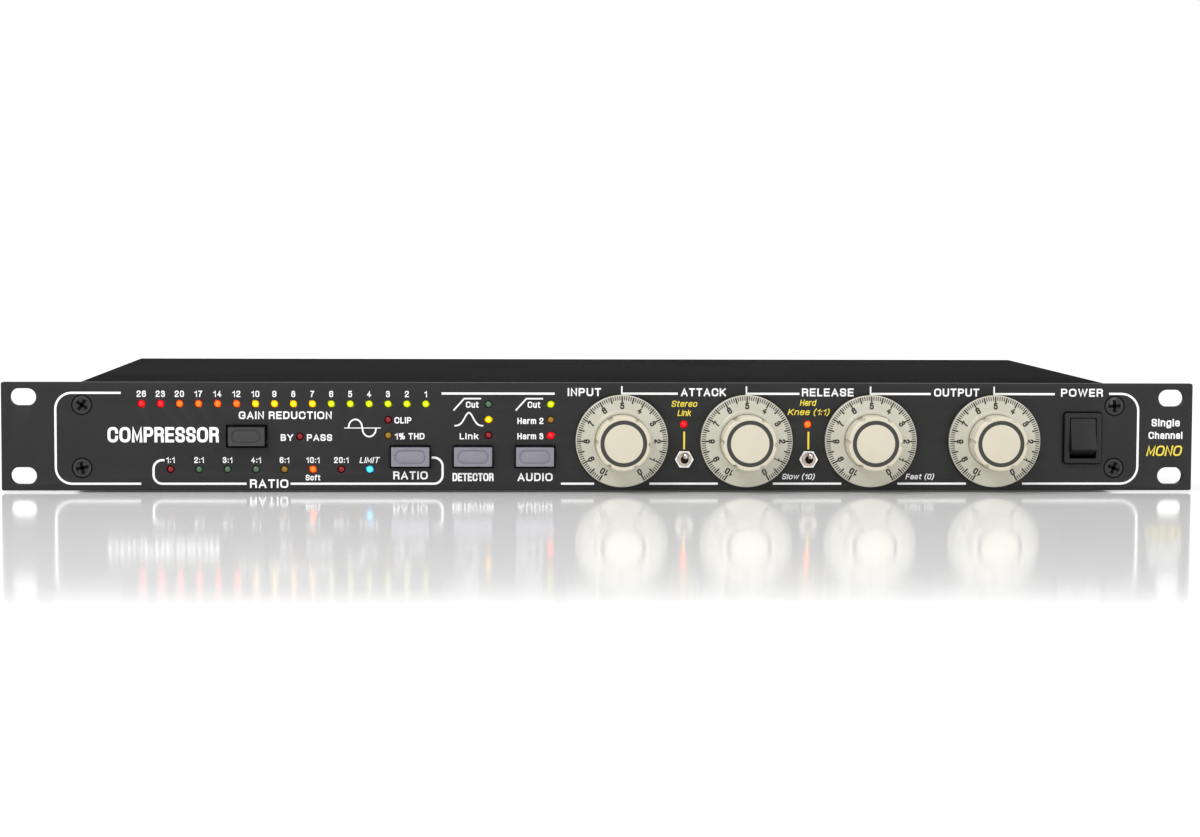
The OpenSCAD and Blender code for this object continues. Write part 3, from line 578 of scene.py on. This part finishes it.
def add_panel_lettering():
    white = [
        ("COMPRESSOR", -199.0, -154.5, 0.7, 6.2, "bold"),
        ("GAIN REDUCTION", -146.5, -109.2, 8.6, 3.1, "bold"),
        ("BY", -129.7, -124.7, -0.4, 2.7, "bold"), ("PASS", -119.2, -109.1, -0.4, 2.7, "bold"),
        ("CLIP", -84.0, -77.2, 6.6, 2.55, "bold"), ("1% THD", -83.8, -71.9, 0.15, 2.55, "bold"),
        ("Soft", -173.9 + 11.42 * 5, None, -16.6, 2.3, "bold"),
        ("RATIO", -142.1, -126.7, -19.05, 3.5, "bold"), ("RATIO", -84.5, -70.6, -15.7, 3.3, "bold"),
        ("DETECTOR", -60.6, -44.0, -16.4, 3.3, "bold"), ("AUDIO", -34.3, -20.1, -16.4, 3.3, "bold"),
        ("Cut", -55.2, -50.1, 12.95, 2.5, "bold"), ("Cut", -30.3, -25.2, 12.95, 2.5, "bold"),
        ("Link", -57.7, -50.1, 0.17, 2.5, "bold"),
        ("Harm 2", -34.4, -23.9, 6.4, 2.5, "bold"), ("Harm 3", -34.4, -23.9, 0.2, 2.5, "bold"),
        ("INPUT", -14.1, -0.6, 18.1, 3.25, "bold"), ("ATTACK", 31.8, 50.1, 18.1, 3.25, "bold"),
        ("RELEASE", 81.0, 102.1, 18.1, 3.25, "bold"), ("OUTPUT", 135.0, 153.5, 18.1, 3.25, "bold"),
        ("POWER", 187.1, 204.3, 18.1, 3.25, "bold"),
        ("Slow (10)", 73.2, 86.6, -16.2, 2.2, "italic"), ("Fast (0)", 123.7, 135.4, -16.2, 2.2, "italic"),
        ("Single", 224.6, 236.2, 5.9, 3.1, "bold"), ("Channel", 223.4, 237.4, 0.7, 2.9, "bold"),
    ]
    gains = (26, 23, 20, 17, 14, 12, 10, 9, 8, 7, 6, 5, 4, 3, 2, 1)
    white += [(str(gain), x, None, 17.2, 2.55, "plain") for gain, x in zip(gains, GAIN_X)]
    ratios = ("1:1", "2:1", "3:1", "4:1", "6:1", "10:1", "20:1")
    white += [(ratio, x, None, -9.5, 2.4, "plain") for ratio, x in zip(ratios, RATIO_X)]
    white.append(("LIMIT", RATIO_X[7] - 4.1, RATIO_X[7] + 4.1, -9.5, 2.4, "italic"))
    yellow = [
        ("Stereo", 28.0, 38.5, 13.4, 2.5, "italic"), ("Link", 33.2, None, 9.7, 2.5, "italic"),
        ("Hard", 83.6, None, 13.9, 2.5, "italic"), ("Knee (1:1)", 75.3, 92.4, 10.1, 2.5, "italic"),
        ("MONO", 222.6, 237.4, -5.6, 4.3, "italic"),
    ]
    for tint, labels in (("white", white), ("yellow", yellow)):
        mesh = joined(tint + "_lettering", [stroke for entry in labels for stroke in label(*entry)])
        add_piece(tint + "_lettering", mesh, "chassis", tint + "_ink")
    pointers = [ribbon([(x, 2.1), (x, -5.1)], 0.75) for x, _ in TOGGLES]
    mesh = joined("toggle_pointers", pointers)
    add_piece("toggle_pointers", mesh, "chassis", "yellow_ink")


# ---------------------------------------------------------------- lamps

def led_mesh(x, z):
    """A three millimetre lamp: flange, round body, domed end."""
    radius, length = 1.5, 4.1
    outline = [Vector(p) for p in ((0, 0), (1.9, 0), (1.9, 1.0), (radius, 1.0), (radius, length))]
    for k in range(1, 9):
        angle = math.radians(90 * k / 8)
        outline.append(Vector((radius * math.cos(angle), length + radius * math.sin(angle))))
    outline[-1].x = 0
    mesh = lathe("lamp", [p * MM for p in outline], 32, smooth_angle=50)
    return outward(mesh, x * MM, z * MM, 2.2 * MM)


def add_lamps():
    gain = ["red_lit"] * 2 + ["orange_lit"] * 4 + ["yellow_lit"] * 4 + ["green_lit"] * 6
    ratio = ["red_dim"] + ["green_dim"] * 3 + ["amber_dim", "orange_lit", "red_dim", "blue_lit"]
    status = [
        (-122.0, 0.0, "red_dim"), (-86.5, 6.8, "red_dim"), (-86.5, 0.46, "amber_dim"),
        (-46.05, 13.1, "green_dim"), (-46.05, 6.9, "yellow_lit"), (-46.05, 0.5, "red_dim"),
        (-20.92, 13.1, "green_lit"), (-20.92, 6.8, "amber_dim"), (-20.92, 0.4, "red_lit"),
        (33.05, 5.05, "red_lit"), (83.5, 5.05, "amber_lit")]
    groups = {
        "gain": [(x, 13.2, kind) for x, kind in zip(GAIN_X, gain)],
        "ratio": [(x, -13.26, kind) for x, kind in zip(RATIO_X, ratio)],
        "status": status}
    for group, lamps in groups.items():
        for kind in sorted({lamp[2] for lamp in lamps}):
            mesh = joined("lamps", [led_mesh(x, z) for x, z, k in lamps if k == kind])
            node = group + "_leds"
            add_piece(f"{node}_{kind}", mesh, "chassis", kind, (node,))


# ---------------------------------------------------------------- knobs

# In millimetres: the dial's and grip's radii, the knob's height, and the sloping face's two edges
SKIRT_R, GRIP_R, KNOB_H = 18.7, 10.95, 17.0
FACE_OUT, FACE_IN = (18.25, 3.3), (12.6, 4.0)


def face_height(r):
    """Height of the dial's gently sloping face at radius r, in millimetres in front of the panel."""
    return FACE_IN[1] + (r - FACE_IN[0]) * (FACE_OUT[1] - FACE_IN[1]) / (FACE_OUT[0] - FACE_IN[0])


def grip_radius(radius, height, angle):
    """Six narrow finger notches, fading out below the top edge's bevel."""
    width = math.radians(6.0)
    notch = 0.0
    for k in range(6):
        away = (angle - math.radians(-2 + 60 * k) + math.pi) % (2 * math.pi) - math.pi
        notch = max(notch, math.cos(min(abs(away) / width, 1) * math.pi / 2) ** 0.7)
    share = max(0.0, min(1.0, (radius / MM - 9.6) / 1.0))
    return radius - 0.85 * MM * notch * share


def dial_marks():
    """Ticks and numbers of one dial, about its centre: 0 to 10 over 300 degrees, a tick every 3."""
    points, faces = [], []
    for k in range(101):
        inner, half = (15.7, 0.3) if k % 5 == 0 else (16.6, 0.19)
        angle = math.radians(-60 + 3 * k)
        along = Vector((math.cos(angle), math.sin(angle)))
        side = Vector((-math.sin(angle), math.cos(angle)))
        first = len(points)
        for r in (inner, 18.3):
            for s in (-half, half):
                spot = along * r + side * s
                for lift in (-0.03, 0.03):
                    points.append((spot.x * MM, spot.y * MM, (face_height(r) + lift) * MM))
        faces += [tuple(first + n for n in face) for face in (
            (0, 1, 3, 2), (4, 6, 7, 5), (0, 4, 5, 1), (2, 3, 7, 6), (1, 5, 7, 3), (0, 2, 6, 4))]
    marks = [mesh_from("ticks", points, faces, 20)]
    for number in range(11):
        turn = Matrix.Rotation(math.radians(-150 + 30 * number), 2)

        def on_dial(x, y, lift):
            spot = turn @ Vector((x, y + 14.35))
            return spot.x * MM, spot.y * MM, (face_height(spot.length) + lift) * MM

        marks += lettering(str(number), 2.65, "dial", on_dial)
    return joined("dial_marks", marks)


def add_knob(body):
    word = body.split("_")[0]
    x, z = (value * MM for value in hinge_mm(body))
    top, inner, wide, narrow = KNOB_H, 7.0, 9.36, 7.71
    skirt = rounded(
        [(inner, 4.0), (inner, 0.8), (SKIRT_R, 0.8), (SKIRT_R, 2.95), FACE_OUT, FACE_IN, (12.2, 4.6),
         (11.6, 4.65), (GRIP_R + 0.2, 4.65), (GRIP_R + 0.2, 3.98), (inner, 4.0)],
        [0, 0.2, 0.25, 0.3, 0.4, 0.4, 0.3, 0.3, 0.1, 0, 0], 4)
    grip = rounded(
        [(0, 4.0), (GRIP_R, 4.0), (GRIP_R, top), (9.35, top), (9.35, top - 0.7), (7.72, top - 0.7),
         (7.72, top), (0, top)],
        [0, 0.2, 1.1, 0.05, 0.05, 0.05, 0.1, 0], 6)
    groove = rounded(
        [(wide, top - 0.75), (wide, top - 0.06), (narrow, top - 0.06), (narrow, top - 0.75),
         (wide, top - 0.75)],
        [0, 0.06, 0.06, 0, 0], 3)
    dial_mesh = lathe("dial", [p * MM for p in skirt], 128)
    grip_mesh = lathe("grip", [p * MM for p in grip], 360, grip_radius)
    ring_mesh = lathe("ring", [p * MM for p in groove], 128)
    parts = (
        ("_dial", dial_mesh, "skirt_plastic", "skirt_plastic", (body + "_skirt",)),
        ("_grip", grip_mesh, "grip_plastic", "grip_plastic", (body + "_grip",)),
        ("_ring", ring_mesh, "grip_plastic", "ring_black", ()),
        ("_dial_marks", dial_marks(), "skirt_plastic", "dial_ink", ()))
    for ending, mesh, slot, skin, hidden in parts:
        add_piece(word + ending, outward(mesh, x, z), body, skin, hidden)


# ---------------------------------------------------------------- buttons, toggles and rocker

def add_controls():
    for word, skin in (("bypass", "dark_cap"), ("ratio", "grey_cap"), ("detector", "grey_cap"),
                       ("audio", "grey_cap")):
        softened(word + "_button", 0.2 * MM, skin, word + "_button_cap")
    softened("power_rocker", 0.4 * MM, "black_plastic", "power_rocker_cap", segments=3)
    softened("power_switch_housing", 0.35 * MM, "black_plastic", "power_rocker_frame", segments=3)
    softened("panel_nuts", 0.2 * MM, "nickel", "front_nuts")


def add_gaps():
    """Matte black painted shade where gaps and recesses would lie in shadow: screws, switch frame and
    toggle bores.
    """
    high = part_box("panel_screws")[1]
    meshes = []
    # Painted shade: a black cross down in each screw's cross recess and a black ring in the gap round its
    # head.
    for (side, level), degrees in SCREW_TURNS.items():
        centre = Vector((side * (high.x / MM - 3.65), level * (high.z / MM - 3.65)))
        turn = Matrix.Rotation(math.radians(degrees), 2)
        for quarter in (Vector((1, 0)), Vector((0, 1))):
            arm = turn @ quarter * 2.45
            meshes.append(ribbon([centre - arm, centre + arm], 1.3, lift=-0.45 + 0.01 * quarter.x))
        angles = [k * math.pi / 24 for k in range(49)]
        ring = [centre + Vector((math.cos(angle), math.sin(angle))) * 3.97 for angle in angles]
        meshes.append(ribbon(ring, 0.62, lift=-0.3))
    # Painted shade: a black disc down in each toggle's bore.
    for x, z in TOGGLES:
        bore = [(1.62, 3.0), (1.62, 3.24), (0.9, 3.22), (0.9, 3.0), (1.62, 3.0)]
        meshes.append(outward(lathe("bore", [Vector(p) * MM for p in bore], 32), x * MM, z * MM))
    # Painted shadow: a black line on the panel round the foot of the rocker frame.
    low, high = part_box("power_switch_housing")
    west, east, south, north = (v / MM for v in (low.x, high.x, low.z, high.z))
    frame_shadow_line = [(0.5 * (west + east), south), (west, south), (west, north), (east, north), (east, south),
                  (0.5 * (west + east), south)]
    meshes.append(ribbon(cornered(frame_shadow_line, 0.8), 1.2))
    add_piece("front_painted_shade", joined("front_painted_shade", meshes), "chassis", "gap_black")


# ---------------------------------------------------------------- everything else

def add_shell():
    softened("top_cover", 0.35 * MM, "chassis_paint", "cover_plate", segments=3)
    softened("chassis_tray", 0.25 * MM, "chassis_paint", "tray_plate")
    softened("rear_panel", 0.15 * MM, "chassis_paint", "back_plate")
    softened("rubber_feet", 0.5 * MM, "foot_rubber", "feet", segments=3)
    softened("panel_screws", 0.1 * MM, "black_screws", "front_screws")
    softened("cover_screws", 0.3 * MM, "black_screws", "side_screws")
    softened("rear_screws", 0.3 * MM, "zinc_screws", "back_screws")
    softened("xlr_input_shell", 0.25 * MM, "connector_shell", "input_socket")
    softened("xlr_output_shell", 0.25 * MM, "connector_shell", "output_socket")
    softened("mains_inlet", 0.3 * MM, "black_plastic", "inlet_body")
    softened("fuse_drawer", 0.25 * MM, "black_plastic", "fuse_drawer_face")
    softened("jack_nuts", 0.3 * MM, "nickel", "back_nuts")


def dress_cad_nodes():
    """Gives every CAD node that still shows its own procedural material."""
    special = {"toggle_bodies": "bushing_metal", "link_toggle_lever": "lever_metal",
               "knee_toggle_lever": "lever_metal"}
    for name, node in NODES.items():
        slot = NODE_SLOTS[name]
        skin = special.get(name, slot if slot in SKINS else "black_plastic")
        node.data.materials.clear()
        node.data.materials.append(SKINS[skin])


# ---------------------------------------------------------------- stage

def add_floor():
    mesh = mesh_from("floor", [(-6, -6, FLOOR_Z), (6, -6, FLOOR_Z), (6, 6, FLOOR_Z), (-6, 6, FLOOR_Z)],
                     [(0, 1, 2, 3)])
    floor = bpy.data.objects.new("floor", mesh)
    bpy.context.scene.collection.objects.link(floor)
    mesh.materials.append(SKINS["floor"])


def add_light(name, place, target, size, power):
    lamp = bpy.data.lights.new(name, "AREA")
    lamp.shape = "RECTANGLE"
    lamp.size, lamp.size_y = size
    lamp.energy = power
    holder = bpy.data.objects.new(name, lamp)
    holder.location = place
    holder.rotation_euler = (Vector(target) - Vector(place)).to_track_quat("-Z", "Y").to_euler()
    bpy.context.scene.collection.objects.link(holder)


def add_lights():
    world = bpy.data.worlds.new("studio")
    bpy.context.scene.world = world
    world.use_nodes = True
    background = world.node_tree.nodes["Background"]
    background.inputs["Color"].default_value = (1, 1, 1, 1)
    background.inputs["Strength"].default_value = 1.0
    add_light("key", (-0.9, -1.0, 1.3), (0, 0, 0), (0.8, 0.6), 14)
    add_light("fill", (1.2, -1.2, 0.5), (0, 0, 0), (1.0, 1.0), 3)
    bpy.context.scene.view_settings.view_transform = "Standard"


add_camera()
dress_cad_nodes()
softened("front_panel", 0.25 * MM, "panel_paint", "panel_plate")
add_panel_lines()
add_panel_lettering()
add_lamps()
for knob_body in KNOB_BODIES:
    add_knob(knob_body)
add_controls()
add_gaps()
add_shell()
add_floor()
add_lights()
